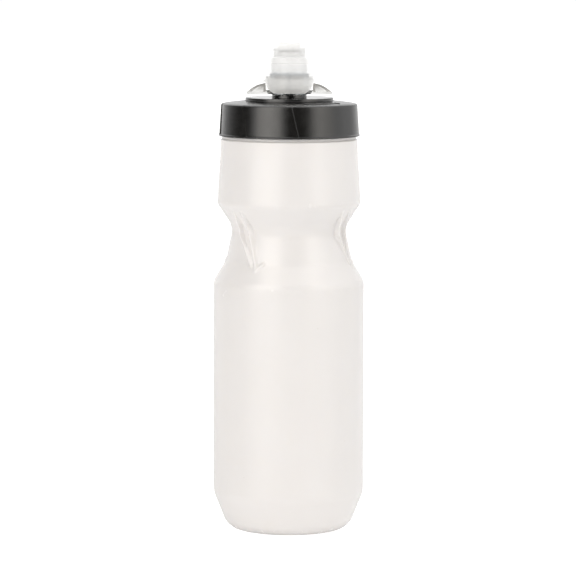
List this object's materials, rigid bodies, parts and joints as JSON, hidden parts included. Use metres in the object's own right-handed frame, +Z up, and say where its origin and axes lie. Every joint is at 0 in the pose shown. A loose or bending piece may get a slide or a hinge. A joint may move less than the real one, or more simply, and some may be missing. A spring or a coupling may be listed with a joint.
{
  "type": "bicycle water bottle",
  "caption": "Squeeze bottle for a bicycle cage, with a waist, a threaded screw cap, a winged lock dial and a soft pull-off mouthpiece with a slit valve.",
  "frame": {"origin": "centre of the ring that the bottle stands on", "axes": "+Z up along the bottle's axis, -Y towards the front; the dial's wings point along X and -X"},
  "size_m": [0.0734, 0.0734, 0.2383],
  "materials": {
    "bottle_white": "soft blown polyethylene, satin",
    "cap_black": "moulded polypropylene, satin",
    "gasket_grey": "silicone",
    "stem_black": "moulded plastic, satin",
    "o_ring_black": "rubber",
    "dial_smoke": "clear grey plastic",
    "mouthpiece_clear": "clear silicone",
    "valve_silicone": "silicone",
    "retainer_clear": "clear plastic"
  },
  "bodies": {
    "bottle": {"bottle_body": "bottle_white"},
    "cap_seal": {"neck_gasket": "gasket_grey"},
    "cap": {"screw_cap": "cap_black", "spout_stem": "stem_black", "stem_plate_seal": "o_ring_black", "stem_o_ring": "o_ring_black"},
    "dial": {"lock_dial": "dial_smoke"},
    "spout": {"mouthpiece": "mouthpiece_clear", "jet_valve": "valve_silicone", "valve_retainer": "retainer_clear"}
  },
  "joints": [
    {"name": "cap_rise", "type": "slide", "parent": "bottle", "child": "cap_seal", "axis": [0, 0, 1], "range_m": [0, 0.015]},
    {"name": "cap_turn", "type": "hinge", "parent": "cap_seal", "child": "cap", "pos_m": [0, 0, 0.2], "axis": [0, 0, 1], "range_deg": [0, 900]},
    {"name": "dial_turn", "type": "hinge", "parent": "cap", "child": "dial", "pos_m": [0, 0, 0.215], "axis": [0, 0, 1], "range_deg": [0, 90]},
    {"name": "mouthpiece_pull_off", "type": "slide", "parent": "dial", "child": "spout", "axis": [0, 0, 1], "range_m": [0, 0.016]}
  ],
  "couplings": [
    {"joint": "cap_rise", "follows": "cap_turn", "m_per_rad": 0.00095493}
  ]
}
